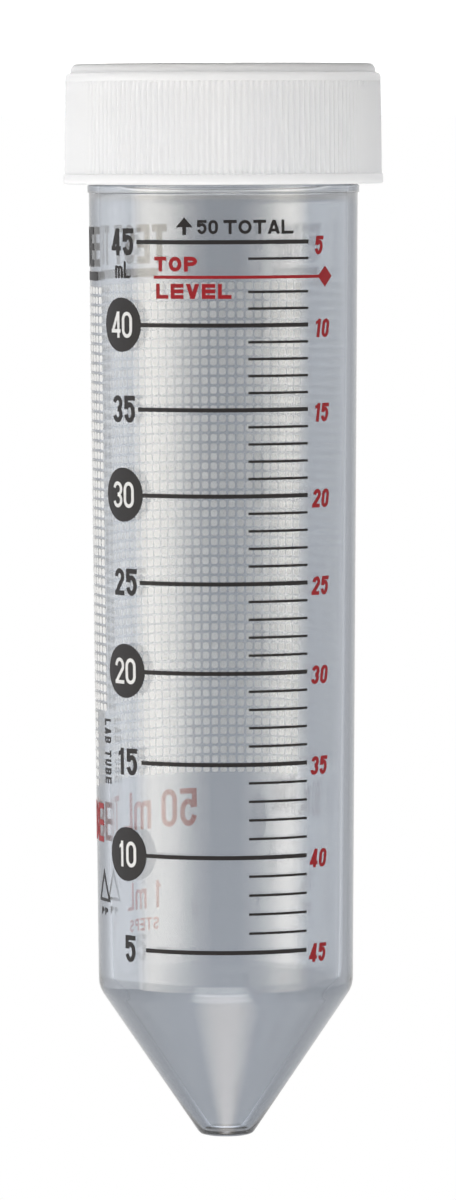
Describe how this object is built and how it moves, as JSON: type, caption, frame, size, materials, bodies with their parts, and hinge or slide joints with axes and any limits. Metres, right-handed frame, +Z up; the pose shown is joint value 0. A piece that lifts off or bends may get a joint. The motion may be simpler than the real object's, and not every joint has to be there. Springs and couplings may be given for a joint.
{
  "type": "50 ml conical centrifuge tube",
  "caption": "Clear tapered tube with a conical bottom, a printed volume scale and write-on grid, closed by a white fluted screw cap.",
  "frame": {"origin": "on the floor under the middle of the closed tube, which stands upside down on the flat top of its cap", "axes": "+Z runs up along the tube from the cap to the tip of the cone, -Y is the side that carries the volume scale, and -X is on the reader's right when the scale is read with the cap at the top"},
  "size_m": [0.0348, 0.0348, 0.1166],
  "materials": {
    "clear_polypropylene": "hazy clear moulded polypropylene",
    "white_polyethylene": "satin white moulded polyethylene",
    "black_ink": "screen-printed black ink",
    "red_ink": "screen-printed red ink",
    "white_ink": "screen-printed white write-on ink"
  },
  "bodies": {
    "cap": {"cap": "white_polyethylene"},
    "tube": {"tube": "clear_polypropylene"}
  },
  "joints": [
    {"name": "tube_lift", "type": "slide", "parent": "cap", "child": "tube", "axis": [0, 0, 1], "range_m": [0, 0.03]}
  ]
}
